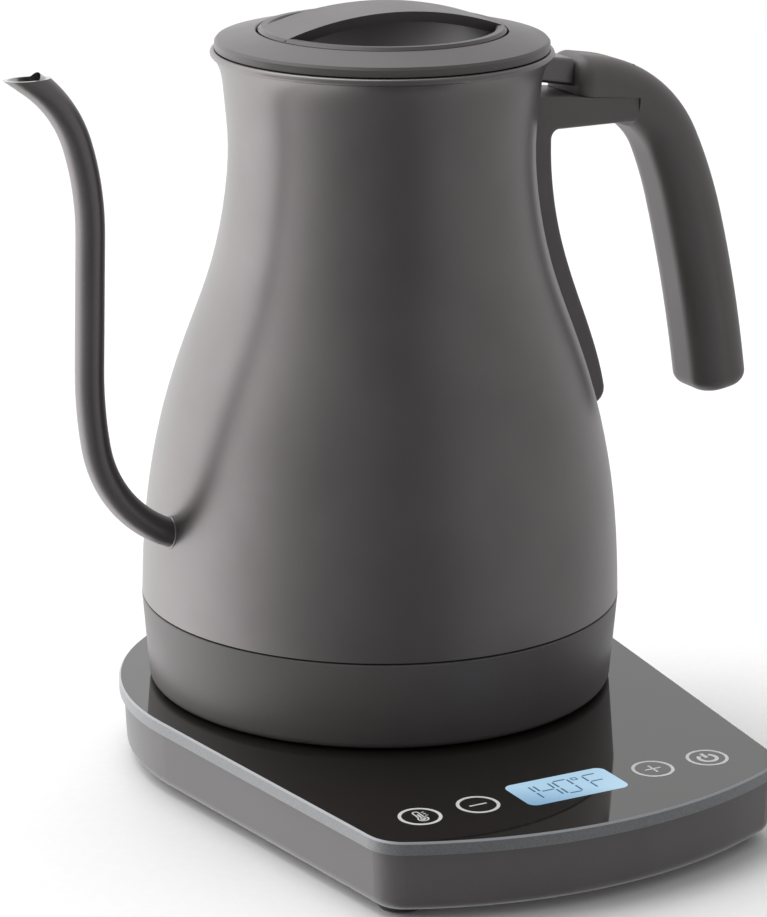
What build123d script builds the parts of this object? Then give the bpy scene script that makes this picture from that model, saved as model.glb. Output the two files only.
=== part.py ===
"""Electric gooseneck kettle on a touch-glass power base, as separate pieces.

Millimetres, +Z up. The origin is on the kettle's axis, on the table. The spout
points to -X, the handle to +X and the controls of the base to -Y.
"""
import os
from math import cos, radians, sin, sqrt

from build123d import *

os.makedirs("parts", exist_ok=True)

# ---------------------------------------------------------------- dimensions
# heights above the table
tray_bottom = 2.5
glass_bottom = 18.9
glass_thickness = 3.5
glass_top_z = glass_bottom + glass_thickness
kettle_bottom = glass_top_z + 0.5
seam_z = 47.9

# outline of the power base
back_radius = 73.3
front_radius = 127.0
side_taper = 6.8
front_corner = 11.0
tray_inset = 1.3
tray_wall = 2.4
plug_radius = 17.0
plug_top = 31.7

# controls, all on one line across the front of the glass
control_y = -101.0
display_size = (30.0, 15.2)
key_x = (-43.5, -26.5, 26.5, 43.5)

# kettle body: outside radius at heights above the seam
body_stations = ((0, 66.4), (30, 64.3), (50, 60.5), (70, 54.4), (90, 47.2), (110, 42.8),
                 (128, 41.7), (140, 42.7), (149.6, 45.5))
body_wall = 1.0
floor_z = seam_z + 2.4
rim_z = seam_z + 149.6
bead_radius = 1.0
bottom_radius = 64.5

# spout: a round tube bent in the XZ plane; its bends are (radius, turn)
spout_radius = 3.9
root_length = 4.3
elbow_arcs = ((35.2, -57.8), (116.0, -10.7))
riser_length = 35.9
crook_arcs = ((78.7, 18.0), (33.5, 37.0))
mouth_length = 12.0
spout_bore = 3.2
spout_root = (61.1, 23.1)
spout_rise = 23.0
spout_mouth_z = seam_z + 151.9

# handle, outlines in the XZ plane as (x, height above the seam)
grip_half_width = 11.0
grip_round = 7.5
grip_end_round = 4.0
bar_half_width = 10.4
bar_bottom = 126.2
neck_half_width = 5.5

# lid
lid_ring_radius = 45.1
lid_ring_z = seam_z + 154.2
lid_gap_radius = 33.9
lid_gap_z = seam_z + 156.6
insert_gap = 0.5
insert_z = seam_z + 157.4
bowl_radius = 30.4
bowl_depth = 15.0
bridge_top = seam_z + 162.7
bridge_half_width = 10.0
bridge_angle = -6.5
cup_radius = 40.2


def turned(*points):
    """A solid turned about the kettle's axis from (radius, z) corners."""
    with BuildPart() as part:
        with BuildSketch(Plane.XZ):
            with BuildLine():
                Polyline(*points, close=True)
            make_face()
        revolve(axis=Axis.Z)
    return part


def heading(angle):
    """Unit direction in an outline's plane."""
    return Vector(cos(radians(angle)), sin(radians(angle)))


def arc_chain(start, direction, arcs):
    """Tangent arcs one after the other; returns the end and its direction."""
    for radius, turn in arcs:
        arc = JernArc(start, direction, radius, turn)
        start, direction = arc @ 1, arc % 1
    return start, direction


def lifted(points):
    """Outline points given above the seam, raised to the frame's height."""
    return [(x, seam_z + z) for x, z in points]


def save(part, label):
    """Label a finished piece and write its file."""
    part.part.label = label
    export_step(part.part, f"parts/{label}.step")


# ---------------------------------------------------------------- power base
def base_outline(inset=0.0):
    """Round at the back, straight tapering sides, arched front, rounded corners."""
    back = back_radius - inset
    front = front_radius - inset
    tangent = (back * cos(radians(side_taper)), -back * sin(radians(side_taper)))
    run = sqrt(front ** 2 - back ** 2)
    corner = (tangent[0] - run * sin(radians(side_taper)),
              tangent[1] - run * cos(radians(side_taper)))
    with BuildSketch() as outline:
        with BuildLine():
            ThreePointArc(tangent, (0, back), (-tangent[0], tangent[1]))
            Line((-tangent[0], tangent[1]), (-corner[0], corner[1]))
            ThreePointArc((-corner[0], corner[1]), (0, -front), corner)
            Line(corner, tangent)
        make_face()
        fillet(outline.vertices().group_by(Axis.Y)[0], front_corner - inset)
    return outline.sketch


foot_places = ((-49.5, -102.5), (49.5, -102.5), (-50, 36), (50, 36), (0, 0))
boss_places = ((-54, -78), (54, -78), (-56, 14), (56, 14))
foot_radius = 6.3
foot_recess = 1.0
boss_radius = 4.0
boss_height = 6.0
screw_hole = 1.7
screw_head = 2.8
screw_shank = 1.2
head_recess = 3.0

# power board and the posts it stands on
board_y = -58.0
board_size = (84.0, 44.0)
board_thickness = 1.6
board_z = tray_bottom + tray_wall + 3.2
post_places = ((-37, -75), (37, -75), (-37, -41), (37, -41))
post_radius = 2.5
tray_draft = 3.0
tray_edge_round = 3.2

# lower casing: an open tray with rounded bottom edges and a cord hole at the back
tray_top = glass_bottom - 0.4
inlet_radius = 4.4
inlet_z = 13.4
cord_radius = 3.2
with BuildPart() as base_tray:
    with BuildSketch(Plane.XY.offset(tray_top)):
        add(base_outline(tray_inset))
    extrude(amount=tray_bottom - tray_top, taper=tray_draft)
    fillet(base_tray.faces().sort_by(Axis.Z)[0].edges(), tray_edge_round)
    with BuildSketch(Plane.XY.offset(tray_top)):
        add(base_outline(tray_inset + tray_wall))
    extrude(amount=tray_bottom + tray_wall - tray_top, taper=tray_draft, mode=Mode.SUBTRACT)
    with BuildSketch(Plane.XY.offset(tray_bottom + tray_wall)):
        with Locations(*boss_places):
            Circle(boss_radius)
    extrude(amount=boss_height)
    with BuildSketch(Plane.XY.offset(tray_bottom + tray_wall)):
        with Locations(*post_places):
            Circle(post_radius)
    extrude(amount=board_z - tray_bottom - tray_wall)
    with BuildSketch(Plane.XY.offset(tray_bottom)):
        with Locations(*boss_places):
            Circle(screw_hole)
    extrude(amount=tray_wall + boss_height, mode=Mode.SUBTRACT)
    with BuildSketch(Plane.XY.offset(tray_bottom)):
        with Locations(*boss_places):
            Circle(screw_head + 0.5)
    extrude(amount=head_recess, mode=Mode.SUBTRACT)
    with BuildSketch(Plane.XY.offset(tray_bottom)):
        with Locations(*foot_places):
            Circle(foot_radius + 0.1)
    extrude(amount=foot_recess, mode=Mode.SUBTRACT)
    with BuildSketch(Plane.XZ.offset(3 * tray_wall - back_radius)):
        with Locations((0, inlet_z)):
            Circle(inlet_radius)
    extrude(amount=-4 * tray_wall, mode=Mode.SUBTRACT)
save(base_tray, "base_tray")

# frame under the glass: carries the glass, the plug, the display and the keys
frame_thickness = 2.0
frame_bottom = tray_top - frame_thickness
frame_inset = tray_inset + tray_wall + 0.8
boss_gap = 0.2
pilot_depth = 7.0
contact_window = 4.2
inlet_notch = (14.0, 9.0)
with BuildPart() as base_frame:
    with BuildSketch(Plane.XY.offset(frame_bottom)):
        add(base_outline(frame_inset))
    extrude(amount=frame_thickness + 0.2)
    with BuildSketch(Plane.XY.offset(frame_bottom)):
        with Locations(*boss_places):
            Circle(boss_radius - 0.6)
    extrude(amount=-(frame_bottom - tray_bottom - tray_wall - boss_height - boss_gap))
    with BuildSketch(Plane.XY.offset(frame_bottom)):
        with Locations(*boss_places):
            Circle(screw_shank)
    extrude(amount=-pilot_depth, mode=Mode.SUBTRACT)
    with BuildSketch(Plane.XY.offset(frame_bottom)):
        Circle(plug_radius + 0.2)
        with Locations((0, control_y)):
            Rectangle(display_size[0] + 6.4, display_size[1] + 5.4)
        with Locations(*[(x, control_y) for x in key_x]):
            Circle(contact_window)
        with Locations((0, back_radius - frame_inset)):
            Rectangle(*inlet_notch)
    extrude(amount=frame_thickness + 1, mode=Mode.SUBTRACT)
save(base_frame, "base_frame")

# touch glass with a ground edge and a hole for the plug
with BuildPart() as glass_top:
    with BuildSketch(Plane.XY.offset(glass_bottom)):
        add(base_outline())
        Circle(plug_radius + 0.4, mode=Mode.SUBTRACT)
    extrude(amount=glass_thickness)
    rim_edges = glass_top.faces().sort_by(Axis.Z)[-1].outer_wire().edges()
    chamfer(rim_edges, 0.5)
save(glass_top, "glass_top")

with BuildPart() as base_feet:
    with BuildSketch(Plane.XY):
        with Locations(*foot_places):
            Circle(foot_radius)
    extrude(amount=tray_bottom + foot_recess)
    chamfer(base_feet.edges().group_by(Axis.Z)[0], 0.6)
save(base_feet, "base_feet")

# screws from below, through the tray's bosses into the frame's bosses
head_bottom = tray_bottom + 0.8
cross_size = (3.6, 0.7)
cross_depth = 1.0
with BuildPart() as base_screws:
    with BuildSketch(Plane.XY.offset(head_bottom)):
        with Locations(*boss_places):
            Circle(screw_head)
    extrude(amount=tray_bottom + head_recess - head_bottom)
    with BuildSketch(Plane.XY.offset(tray_bottom + head_recess)):
        with Locations(*boss_places):
            Circle(screw_shank)
    extrude(amount=frame_bottom - tray_bottom - head_recess)
    with BuildSketch(Plane.XY.offset(head_bottom)):
        with Locations(*boss_places):
            Rectangle(*cross_size)
            Rectangle(*cross_size, rotation=90)
    extrude(amount=cross_depth, mode=Mode.SUBTRACT)
save(base_screws, "base_screws")

# cord inlet: a grommet in the rear wall of the tray
inlet_wall_y = back_radius - tray_inset - tray_wall - 0.6
grommet_length = 3.2
grommet_lip = 1.4
with BuildPart() as cord_grommet:
    with BuildSketch(Plane.XZ.offset(-inlet_wall_y)):
        with Locations((0, inlet_z)):
            Circle(inlet_radius - 0.05)
            Circle(cord_radius, mode=Mode.SUBTRACT)
    extrude(amount=-grommet_length)
    with BuildSketch(Plane.XZ.offset(-inlet_wall_y)):
        with Locations((0, inlet_z)):
            Circle(inlet_radius + 0.7)
            Circle(cord_radius, mode=Mode.SUBTRACT)
    extrude(amount=grommet_lip)
save(cord_grommet, "cord_grommet")

# display: module under the glass, with its light guide below
module_x, module_y = display_size[0] + 5.6, display_size[1] + 4.6
module_z = frame_bottom + 0.3
guide_z = frame_bottom - 1.6
with BuildPart() as display_module:
    with BuildSketch(Plane.XY.offset(module_z)):
        with Locations((0, control_y)):
            Rectangle(module_x, module_y)
    extrude(amount=glass_bottom - 0.05 - module_z)
    fillet(display_module.edges().filter_by(Axis.Z), 1.0)
save(display_module, "display_module")

with BuildPart() as display_backlight:
    with BuildSketch(Plane.XY.offset(guide_z)):
        with Locations((0, control_y)):
            Rectangle(module_x, module_y)
    extrude(amount=module_z - 0.05 - guide_z)
save(display_backlight, "display_backlight")

# touch board with the spring contacts that reach the glass behind each key
touch_board_z = guide_z - board_thickness - 0.2
touch_board_size = (102.0, 18.0)
with BuildPart() as touch_board:
    with BuildSketch(Plane.XY.offset(touch_board_z)):
        with Locations((0, control_y)):
            RectangleRounded(*touch_board_size, 2)
    extrude(amount=board_thickness)
save(touch_board, "touch_board")

spring_wire = 0.45
spring_radius = 2.6
spring_bottom = touch_board_z + board_thickness + 0.05 + spring_wire
spring_turns_height = glass_bottom - 0.1 - spring_wire - spring_bottom
with BuildPart() as key_springs:
    for x in key_x:
        with BuildLine(Plane.XY.move(Location((x, control_y, spring_bottom)))):
            coil = Helix(spring_turns_height / 3, spring_turns_height, spring_radius)
        with BuildSketch(Plane(coil @ 0, z_dir=coil % 0)):
            Circle(spring_wire)
        sweep(path=coil)
save(key_springs, "key_springs")

# power electronics in the tray
board_top = board_z + board_thickness
relay_size = (18.0, 15.0, 5.2)
core_size = (16.0, 14.0, 1.4)
winding_size = (13.0, 14.0, 3.8)
capacitor_radius, capacitor_height = 4.0, 5.0
beeper_radius, beeper_height = 6.0, 4.0
with BuildPart() as power_board:
    with BuildSketch(Plane.XY.offset(board_z)):
        with Locations((0, board_y)):
            RectangleRounded(*board_size, 3)
    extrude(amount=board_thickness)
save(power_board, "power_board")

with BuildPart() as power_relay:
    with BuildSketch(Plane.XY.offset(board_top)):
        with Locations((26, -54)):
            Rectangle(*relay_size[:2])
    extrude(amount=relay_size[2])
    chamfer(power_relay.faces().sort_by(Axis.Z)[-1].edges(), 0.5)
save(power_relay, "power_relay")

with BuildPart() as supply_transformer:
    with BuildSketch(Plane.XY.offset(board_top)):
        with Locations((-26, -54)):
            Rectangle(*core_size[:2])
    extrude(amount=core_size[2])
    with BuildSketch(Plane.XY.offset(board_top + core_size[2])):
        with Locations((-26, -54)):
            Rectangle(*winding_size[:2])
    extrude(amount=winding_size[2])
    fillet(supply_transformer.edges().group_by(Axis.Z)[-1], 0.6)
save(supply_transformer, "supply_transformer")

with BuildPart() as filter_capacitors:
    with BuildSketch(Plane.XY.offset(board_top)):
        with Locations((-6, -50), (6, -50)):
            Circle(capacitor_radius)
    extrude(amount=capacitor_height)
    fillet(filter_capacitors.edges().group_by(Axis.Z)[-1], 0.7)
save(filter_capacitors, "filter_capacitors")

with BuildPart() as beeper:
    with BuildSketch(Plane.XY.offset(board_top)):
        with Locations((0, -68)):
            Circle(beeper_radius)
            Circle(beeper_radius / 6, mode=Mode.SUBTRACT)
    extrude(amount=beeper_height)
save(beeper, "beeper")

# cordless plug in the middle of the base: body, contact rings and earth pin
contact_radii = (12.6, 8.2)
contact_slot = 1.0
contact_wall = 0.35
contact_height = 4.5
slot_depth = 12.0
earth_well_radius = 4.2
earth_well_depth = 14.0
plug_flange = 5.0
plug_flange_z = frame_bottom - 2.0
with BuildPart() as base_plug:
    with BuildSketch(Plane.XY.offset(plug_flange_z)):
        Circle(plug_radius + plug_flange)
    extrude(amount=frame_bottom - 0.1 - plug_flange_z)
    with BuildSketch(Plane.XY.offset(plug_flange_z)):
        Circle(plug_radius)
    extrude(amount=plug_top - plug_flange_z)
    fillet(base_plug.edges().group_by(Axis.Z)[-1], 1.6)
    with BuildSketch(Plane.XY.offset(plug_top)):
        for radius in contact_radii:
            Circle(radius + contact_slot)
            Circle(radius - contact_slot, mode=Mode.SUBTRACT)
    extrude(amount=-slot_depth, mode=Mode.SUBTRACT)
    with BuildSketch(Plane.XY.offset(plug_top)):
        Circle(earth_well_radius)
    extrude(amount=-earth_well_depth, mode=Mode.SUBTRACT)
save(base_plug, "base_plug")

with BuildPart() as plug_contacts:
    with BuildSketch(Plane.XY.offset(plug_top - slot_depth)):
        for radius in contact_radii:
            Circle(radius + contact_wall)
            Circle(radius - contact_wall, mode=Mode.SUBTRACT)
    extrude(amount=contact_height)
save(plug_contacts, "plug_contacts")

earth_pin_radius = 1.6
earth_foot_height = 1.5
earth_foot_z = plug_top - earth_well_depth
with BuildPart() as earth_pin:
    with BuildSketch(Plane.XY.offset(earth_foot_z)):
        Circle(earth_well_radius - 0.2)
    extrude(amount=earth_foot_height)
    with BuildSketch(Plane.XY.offset(earth_foot_z + earth_foot_height)):
        Circle(earth_pin_radius)
    extrude(amount=plug_top - 1.0 - earth_foot_z - earth_foot_height)
    fillet(earth_pin.edges().group_by(Axis.Z)[-1], 1.0)
save(earth_pin, "earth_pin")

# ---------------------------------------------------------------- socket, turned
# The kettle's half of the connector: an inverted cup over the plug with two
# contact rings that reach into the plug's slots and a tube over the earth pin.
socket_bore = plug_radius + 0.7
socket_radius = socket_bore + 1.8
socket_bottom = kettle_bottom + 0.9
socket_roof = plug_top + 0.8
socket_top = socket_roof + 3.0
socket_flange = socket_radius + 4.0
earth_tube_length = 8.0
flange_z = kettle_bottom + 4.4
socket_housing = turned(
    (0, socket_roof), (socket_bore, socket_roof), (socket_bore, socket_bottom),
    (socket_radius, socket_bottom), (socket_radius, flange_z), (socket_flange, flange_z),
    (socket_flange, flange_z + 1.6), (socket_radius, flange_z + 1.6),
    (socket_radius, socket_top), (0, socket_top))
save(socket_housing, "socket_housing")

with BuildPart() as socket_rings:
    with BuildSketch(Plane.XY.offset(socket_roof)):
        for radius in contact_radii:
            Circle(radius + contact_wall - 0.05)
            Circle(radius - contact_wall + 0.05, mode=Mode.SUBTRACT)
    extrude(amount=plug_top - slot_depth + contact_height + 1.0 - socket_roof)
save(socket_rings, "socket_rings")

with BuildPart() as socket_earth_tube:
    with BuildSketch(Plane.XY.offset(socket_roof)):
        Circle(earth_pin_radius + 1.5)
        Circle(earth_pin_radius + 0.4, mode=Mode.SUBTRACT)
    extrude(amount=-earth_tube_length)
save(socket_earth_tube, "socket_earth_tube")

# ---------------------------------------------------------------- kettle body
outer_points = [(r, seam_z + z) for z, r in body_stations]
inner_points = [(r - body_wall, z) for r, z in outer_points]
bead_centre = (outer_points[-1][0] - 0.2, rim_z + 0.9)


def body_outline(points):
    """The body's flowing outline: upright at the seam, flared at the rim."""
    return Spline(*points, tangents=((-0.02, 1), (0.75, 1)))


# filled form of the body with a hair of room, used to trim what meets its outside
trim_gap = 0.05
with BuildPart() as body_form:
    with BuildSketch(Plane.XZ):
        with BuildLine():
            outline = body_outline([(r + trim_gap, z) for r, z in outer_points])
            Polyline(outline @ 1, (0, rim_z), (0, seam_z), outline @ 0)
        make_face()
    revolve(axis=Axis.Z)

# strainer: small holes through the wall where the spout leaves it
spout_direction = Vector(-cos(radians(spout_rise)), 0, sin(radians(spout_rise)))
spout_start = Vector(-spout_root[0], 0, seam_z + spout_root[1])
strainer_pitch = 2.2
strainer_hole = 0.8
with BuildPart() as body_shell:
    with BuildSketch(Plane.XZ):
        with BuildLine():
            outside = body_outline(outer_points)
            inside = body_outline(inner_points)
            Line(outside @ 0, inside @ 0)
            Line(outside @ 1, inside @ 1)
        make_face()
        with Locations(bead_centre):
            Circle(bead_radius)
    revolve(axis=Axis.Z)
    with BuildSketch(Plane(spout_start, x_dir=(0, 1, 0), z_dir=spout_direction)):
        Circle(strainer_hole)
        with PolarLocations(strainer_pitch, 6):
            Circle(strainer_hole)
    extrude(amount=7.0, both=True, mode=Mode.SUBTRACT)
save(body_shell, "body_shell")

# welded floor with the probe's hole
floor_radius = body_stations[0][1] - body_wall - 0.25
floor_thickness = 1.0
probe_x, probe_y = 0.0, 24.0
probe_radius = 2.2
probe_hole = 3.1
with BuildPart() as body_floor:
    with BuildSketch(Plane.XY.offset(floor_z)):
        Circle(floor_radius)
        with Locations((probe_x, probe_y)):
            Circle(probe_hole, mode=Mode.SUBTRACT)
    extrude(amount=floor_thickness)
    fillet(body_floor.edges().filter_by(GeomType.CIRCLE).sort_by(SortBy.RADIUS)[-2:], 0.3)
save(body_floor, "body_floor")

# spout: rises from the body, bends upright, leans back a little and bends out
with BuildPart() as spout_tube:
    with BuildLine(Plane.XZ):
        root = PolarLine((-spout_root[0], seam_z + spout_root[1]), root_length,
                         180 - spout_rise)
        elbow_end, elbow_way = arc_chain(root @ 1, root % 1, elbow_arcs)
        riser = Line(elbow_end, elbow_end + elbow_way * riser_length)
        crook_end, crook_way = arc_chain(riser @ 1, riser % 1, crook_arcs)
        Line(crook_end, crook_end + crook_way * mouth_length)
    with BuildSketch(Plane(spout_start, x_dir=(0, 1, 0), z_dir=spout_direction)):
        Circle(spout_radius)
        Circle(spout_bore, mode=Mode.SUBTRACT)
    sweep()
    split(bisect_by=Plane.XY.offset(spout_mouth_z), keep=Keep.BOTTOM)
    add(body_form.part, mode=Mode.SUBTRACT)
save(spout_tube, "spout_tube")

# bottom ring: outside skirt below the seam, with a ledge for the cover
skirt_wall = 2.2
skirt_top = seam_z - 0.5
skirt_top_radius = 66.5
ledge_width = 1.4
ledge_z = kettle_bottom + 1.2
with BuildPart() as bottom_ring:
    with BuildSketch(Plane.XZ):
        with BuildLine():
            Polyline((skirt_top_radius, skirt_top), (bottom_radius, kettle_bottom),
                     (bottom_radius - skirt_wall - ledge_width, kettle_bottom),
                     (bottom_radius - skirt_wall - ledge_width, ledge_z),
                     (bottom_radius - skirt_wall, ledge_z),
                     (skirt_top_radius - skirt_wall, skirt_top), close=True)
        make_face()
    revolve(axis=Axis.Z)
    fillet(bottom_ring.edges().group_by(Axis.Z)[0].sort_by(SortBy.RADIUS)[-1], 2.0)
    fillet(bottom_ring.edges().group_by(Axis.Z)[-1].sort_by(SortBy.RADIUS)[-1], 0.4)
save(bottom_ring, "bottom_ring")

# dark band that seals the seam between body and bottom ring
seam_band = turned((65.6, seam_z - 0.45), (65.6, seam_z - 0.05), (65.15, seam_z - 0.05),
                   (65.15, seam_z + 1.8), (62.6, seam_z + 1.8), (62.6, seam_z - 3.0),
                   (64.0, seam_z - 3.0), (64.0, seam_z - 0.45))
save(seam_band, "seam_band")

cover_radius = bottom_radius - skirt_wall - 0.3
cover_z = ledge_z + 0.05
cover_screws = ((0, 52), (-45, -26), (45, -26))
cover_thickness = 2.0
cover_screw_length = 11.0
cover_shank = 1.5
cover_head, cover_head_height = 3.2, 0.9
collar_height = 5.0
with BuildPart() as bottom_cover:
    with BuildSketch(Plane.XY.offset(cover_z)):
        Circle(cover_radius)
        Circle(socket_radius + 0.5, mode=Mode.SUBTRACT)
    extrude(amount=cover_thickness)
    with BuildSketch(Plane.XY.offset(cover_z + cover_thickness)):
        Circle(socket_flange + 3.0)
        Circle(socket_flange + 0.6, mode=Mode.SUBTRACT)
    extrude(amount=collar_height)
    with BuildSketch(Plane.XY.offset(cover_z)):
        with Locations(*cover_screws):
            Circle(cover_shank + 0.4)
    extrude(amount=cover_thickness, mode=Mode.SUBTRACT)
save(bottom_cover, "bottom_cover")

with BuildPart() as cover_screw_set:
    with BuildSketch(Plane.XY.offset(cover_z - cover_head_height)):
        with Locations(*cover_screws):
            Circle(cover_head)
            Rectangle(4.0, 0.8, mode=Mode.SUBTRACT)
    extrude(amount=cover_head_height)
    with BuildSketch(Plane.XY.offset(cover_z)):
        with Locations(*cover_screws):
            Circle(cover_shank)
    extrude(amount=cover_screw_length)
save(cover_screw_set, "cover_screws")

# heater: spreader plate with posts for the cover's screws, tubular element,
# cut-out and probe
spreader_z = floor_z - 3.2
spreader_radius = 56.0
screw_post_radius = 3.0
with BuildPart() as heat_spreader:
    with BuildSketch(Plane.XY.offset(spreader_z)):
        Circle(spreader_radius)
        with Locations((probe_x, probe_y)):
            Circle(probe_hole + 2.1, mode=Mode.SUBTRACT)
    extrude(amount=floor_z - 0.05 - spreader_z)
    with BuildSketch(Plane.XY.offset(spreader_z)):
        with Locations(*cover_screws):
            Circle(screw_post_radius)
            Circle(cover_shank, mode=Mode.SUBTRACT)
    extrude(amount=cover_z + cover_thickness + 0.1 - spreader_z)
save(heat_spreader, "heat_spreader")

element_radius = 42.0
element_tube = 3.4
element_gap = 20.0
pin_radius, pin_length = 2.2, 9.0
element_z = spreader_z - element_tube + 0.25


def on_element(angle):
    """A point on the element's centre circle."""
    return element_radius * cos(radians(angle)), element_radius * sin(radians(angle))


first_end, last_end = element_gap / 2 - 90, -element_gap / 2 - 90
with BuildPart() as heating_element:
    with BuildLine(Plane.XY.offset(element_z)):
        CenterArc((0, 0), element_radius, first_end, 360 - element_gap)
    with BuildSketch(Plane((*on_element(first_end), element_z),
                           z_dir=(-sin(radians(first_end)), cos(radians(first_end)), 0))):
        Circle(element_tube)
    sweep()
    with BuildSketch(Plane.XY.offset(element_z)):
        with Locations(on_element(first_end), on_element(last_end)):
            Circle(pin_radius)
    extrude(amount=-pin_length)
    split(bisect_by=Plane.XY.offset(spreader_z - 0.05), keep=Keep.BOTTOM)
save(heating_element, "heating_element")

cutout_place = (20, 8)
cutout_radius, cutout_height = 7.0, 4.0
tab_size, tab_thickness = (24.0, 4.0), 0.8
with BuildPart() as thermal_cutout:
    with BuildSketch(Plane.XY.offset(spreader_z - 0.1)):
        with Locations(cutout_place):
            Circle(cutout_radius)
    extrude(amount=-cutout_height)
    with BuildSketch(Plane.XY.offset(spreader_z - 2.2)):
        with Locations(cutout_place):
            Rectangle(*tab_size)
    extrude(amount=-tab_thickness)
save(thermal_cutout, "thermal_cutout")

with BuildPart() as water_probe:
    with BuildSketch(Plane.XY.offset(floor_z - 6.0)):
        with Locations((probe_x, probe_y)):
            Circle(probe_radius)
    extrude(amount=11.0)
    fillet(water_probe.edges().group_by(Axis.Z)[-1], 1.4)
save(water_probe, "water_probe")

with BuildPart() as probe_seal:
    with BuildSketch(Plane.XY.offset(floor_z - 1.6)):
        with Locations((probe_x, probe_y)):
            Circle(probe_hole + 1.5)
            Circle(probe_radius + 0.05, mode=Mode.SUBTRACT)
    extrude(amount=1.55)
    with BuildSketch(Plane.XY.offset(floor_z - 0.05)):
        with Locations((probe_x, probe_y)):
            Circle(probe_hole - 0.1)
            Circle(probe_radius + 0.05, mode=Mode.SUBTRACT)
    extrude(amount=1.9)
save(probe_seal, "probe_seal")

# ---------------------------------------------------------------- handle
# The grip's side outline: its back and its front are chains of tangent arcs, each
# (radius, turn). The arm reaches back to the rim and is cut away below for the bar.
arm_start_x = 57.2
arm_slope = -9.0
arm_top = (arm_start_x, seam_z + 145.8)
arm_length = 9.8
back_arcs = ((41.5, -55.0), (140.0, -10.5), (385.0, -6.9))
back_tail = 6.3
front_start = (100.3, seam_z + 43.2)
front_heading = 98.1
front_arcs = ((475.0, 7.0), (106.0, 8.5), (20.0, 56.0))
front_tail = 13.0
bar_end_x = 75.6
arm_floor = ((arm_start_x, seam_z + 134.8), (bar_end_x, seam_z + 132.9))


with BuildPart() as grip_blank:
    with BuildSketch(Plane.XZ):
        with BuildLine():
            arm_line = Line(arm_top, Vector(*arm_top) + heading(arm_slope) * arm_length)
            back_end, back_way = arc_chain(arm_line @ 1, heading(arm_slope), back_arcs)
            tail = Line(back_end, back_end + back_way * back_tail)
            Line(tail @ 1, front_start)
            front_end, front_way = arc_chain(front_start, heading(front_heading), front_arcs)
            underside = Line(front_end, front_end + front_way * front_tail)
            Polyline(underside @ 1, (arm_start_x, (underside @ 1).Y), arm_top)
        make_face()
    extrude(amount=grip_half_width, both=True)
    fillet(grip_blank.faces().filter_by(Axis.Y).edges().filter_by(GeomType.CIRCLE), grip_round)
    fillet(grip_blank.faces().sort_by(Axis.Z)[0].edges(), grip_end_round)

grip_screw_x = (62.6, 70.6)
grip_screw_shank = 1.4
grip_screw_head = 2.8
grip_screw_hole = grip_screw_shank + 0.3
tongue_end_x = 77.0
tongue_bottom = seam_z + 137.2
tongue_top = seam_z + 141.4
tongue_fit = 0.15
arm_corner = 3.6
with BuildPart() as handle_grip:
    add(grip_blank.part)
    with BuildSketch(Plane.XZ):
        Polygon(*arm_floor, (bar_end_x, seam_z + 100), (arm_start_x - 2, seam_z + 100),
                (arm_start_x - 2, arm_floor[0][1]), align=None)
    extrude(amount=grip_half_width + 1, both=True, mode=Mode.SUBTRACT)
    fillet(handle_grip.faces().sort_by(Axis.X)[0].edges().filter_by(Axis.Z), arm_corner)
    with BuildSketch(Plane.XZ):
        with Locations(((arm_start_x + tongue_end_x) / 2, (tongue_bottom + tongue_top) / 2)):
            Rectangle(tongue_end_x - arm_start_x + 0.4, tongue_top - tongue_bottom + 2 * tongue_fit)
    extrude(amount=neck_half_width + tongue_fit, both=True, mode=Mode.SUBTRACT)
    with BuildSketch(Plane.XY.offset(seam_z + 131.0)):
        with Locations(*[(x, 0) for x in grip_screw_x]):
            Circle(grip_screw_hole)
    extrude(amount=7.0, mode=Mode.SUBTRACT)
save(handle_grip, "handle_grip")

# one bent cover: the bar under the arm and the spine down the back of the body
spine_line = ((47.9, bar_bottom), (48.2, 114.3), (51.6, 95.6), (56.5, 81.2), (62.2, 66.6),
              (66.6, 51.6))
spine_foot_radius = 4.6
spine_foot_turn = -82.0
spine_corner = 2.5
bar_round = 1.4
inside_x = 30.0
with BuildPart() as handle_spine:
    with BuildSketch(Plane.XZ) as spine_face:
        with BuildLine():
            outline = Spline(*lifted(spine_line))
            foot = JernArc(outline @ 1, outline % 1, spine_foot_radius, spine_foot_turn)
            foot_run = Line(foot @ 1, (foot @ 1) + (foot % 1) * 20.0)
            Polyline(foot_run @ 1, (inside_x, (foot_run @ 1).Y), (inside_x, seam_z + 137.2),
                     (bar_end_x - 0.1, arm_floor[1][1] - 0.1),
                     *lifted(((bar_end_x - 0.1, bar_bottom), spine_line[0])))
        make_face()
        inner_corner = spine_face.vertices().sort_by_distance(lifted(spine_line)[0])[0]
        fillet(inner_corner, spine_corner)
    extrude(amount=bar_half_width, both=True)
    side_edges = handle_spine.faces().filter_by(Axis.Y).edges()
    lower_edges = side_edges.filter_by(
        lambda edge: edge.center().X > 47.0 and edge.center().Z < seam_z + bar_bottom + 1)
    fillet(lower_edges, bar_round)
    add(body_form.part, mode=Mode.SUBTRACT)
    with BuildSketch(Plane.XY.offset(seam_z + bar_bottom)):
        with Locations(*[(x, 0) for x in grip_screw_x]):
            Circle(grip_screw_head + 0.3)
    extrude(amount=2.4, mode=Mode.SUBTRACT)
    with BuildSketch(Plane.XY.offset(seam_z + bar_bottom)):
        with Locations(*[(x, 0) for x in grip_screw_x]):
            Circle(grip_screw_hole)
    extrude(amount=10.0, mode=Mode.SUBTRACT)
save(handle_spine, "handle_spine")

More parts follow.
